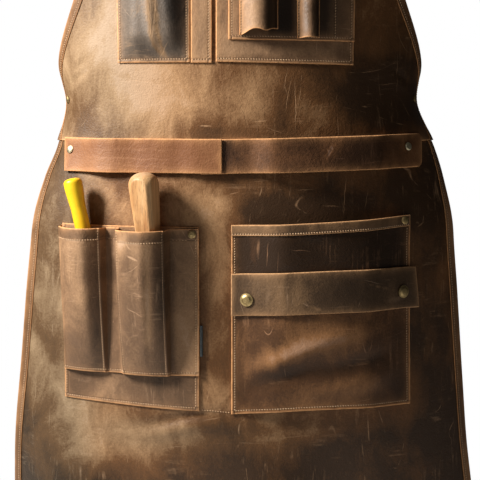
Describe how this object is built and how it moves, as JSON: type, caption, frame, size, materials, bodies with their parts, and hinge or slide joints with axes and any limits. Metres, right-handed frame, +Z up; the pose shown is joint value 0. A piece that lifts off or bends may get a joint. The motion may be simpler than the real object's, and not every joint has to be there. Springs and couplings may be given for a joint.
{
  "type": "leather apron on a wall hook",
  "caption": "Leather work apron with tool pockets, hung by its buckled neck strap from a wall hook; strap, buckles, tool strap and stowed tools move.",
  "frame": {"origin": "middle of the hook plate's two screw holes, on the wall face", "axes": "+X to the viewer's right, +Y into the wall, +Z up; the apron faces -Y"},
  "size_m": [0.571, 0.1519, 1.24],
  "materials": {
    "hook_iron": "blackened, satin",
    "main_hide": "waxed pull-up leather, rubbed and scratched",
    "binding_hide": "folded edging with a sewn line",
    "pocket_hide": "waxed pull-up leather with pale raw edges",
    "dark_hide": "darker waxed leather",
    "strap_hide": "reddish strap leather",
    "antique_brass": "antique brass, worn",
    "label_cloth": "plain woven tape",
    "yellow_plastic": "glossy",
    "black_plastic": "matt",
    "handle_wood": "bare, oiled by use",
    "tool_steel": "ground"
  },
  "bodies": {
    "hook": {"hook_plate": "hook_iron", "hook_arm": "hook_iron"},
    "neck_strap": {"neck_strap_long": "strap_hide", "neck_strap_short": "strap_hide", "neck_buckle": "antique_brass", "neck_keeper": "strap_hide", "neck_rivet_left": "antique_brass", "neck_rivet_right": "antique_brass", "ring_left": "antique_brass", "ring_right": "antique_brass"},
    "neck_prong": {"neck_prong": "antique_brass"},
    "apron": {"bib_panel": "main_hide", "bib_binding_left": "binding_hide", "bib_binding_right": "binding_hide", "bib_top_band": "binding_hide", "tab_left": "strap_hide", "tab_right": "strap_hide", "tab_rivet_left_upper": "antique_brass", "tab_rivet_left_lower": "antique_brass", "tab_rivet_right_upper": "antique_brass", "tab_rivet_right_lower": "antique_brass", "chest_pocket_left": "dark_hide", "chest_strip": "pocket_hide", "chest_base": "pocket_hide", "pen_panel": "pocket_hide", "skirt_panel": "main_hide", "skirt_binding_left": "binding_hide", "skirt_binding_right": "binding_hide", "skirt_hem": "binding_hide", "waist_strap_left": "strap_hide", "waist_strap_right": "strap_hide", "waist_rivet_left": "antique_brass", "waist_rivet_right": "antique_brass", "belt_left": "strap_hide", "belt_right": "strap_hide", "belt_buckle": "antique_brass", "belt_keeper": "strap_hide", "belt_rivet_left": "antique_brass", "belt_rivet_right": "antique_brass", "tool_pocket_base": "pocket_hide", "slot_panel": "pocket_hide", "pocket_rivet": "antique_brass", "label_tab": "label_cloth", "cargo_pocket": "pocket_hide", "cargo_hem": "pocket_hide", "cargo_rivet": "antique_brass", "tool_strap_fixed": "strap_hide", "snap_cap_left": "antique_brass", "snap_stud": "antique_brass"},
    "belt_prong": {"belt_prong": "antique_brass"},
    "tool_strap": {"tool_strap_free": "strap_hide", "snap_cap_right": "antique_brass"},
    "marker": {"marker_barrel": "yellow_plastic", "marker_cap": "black_plastic"},
    "chisel": {"chisel_handle": "handle_wood", "chisel_ferrule": "tool_steel", "chisel_blade": "tool_steel"}
  },
  "joints": [
    {"name": "lift_off", "type": "slide", "parent": "hook", "child": "neck_strap", "axis": [0, 0, 1], "range_m": [0, 0.06]},
    {"name": "bib_swing", "type": "hinge", "parent": "neck_strap", "child": "apron", "pos_m": [0, -0.086, -0.322], "axis": [-1, 0, 0], "range_deg": [0, 40]},
    {"name": "neck_prong_lift", "type": "hinge", "parent": "neck_strap", "child": "neck_prong", "pos_m": [0.07127, -0.086, -0.22413], "axis": [0.9595, 0, 0.2817], "range_deg": [0, 25]},
    {"name": "belt_prong_lift", "type": "hinge", "parent": "apron", "child": "belt_prong", "pos_m": [-0.012, -0.012, -0.62], "axis": [0, 0, 1], "range_deg": [0, 25]},
    {"name": "tool_strap_open", "type": "hinge", "parent": "apron", "child": "tool_strap", "pos_m": [0.02252, -0.13665, -0.8337], "axis": [0, 0, -1], "range_deg": [0, 100]},
    {"name": "marker_lift", "type": "slide", "parent": "apron", "child": "marker", "axis": [-0.205, 0.0454, 0.9777], "range_m": [0, 0.15]},
    {"name": "chisel_lift", "type": "slide", "parent": "apron", "child": "chisel", "axis": [-0.0778, -0.0385, 0.9962], "range_m": [0, 0.18]}
  ]
}
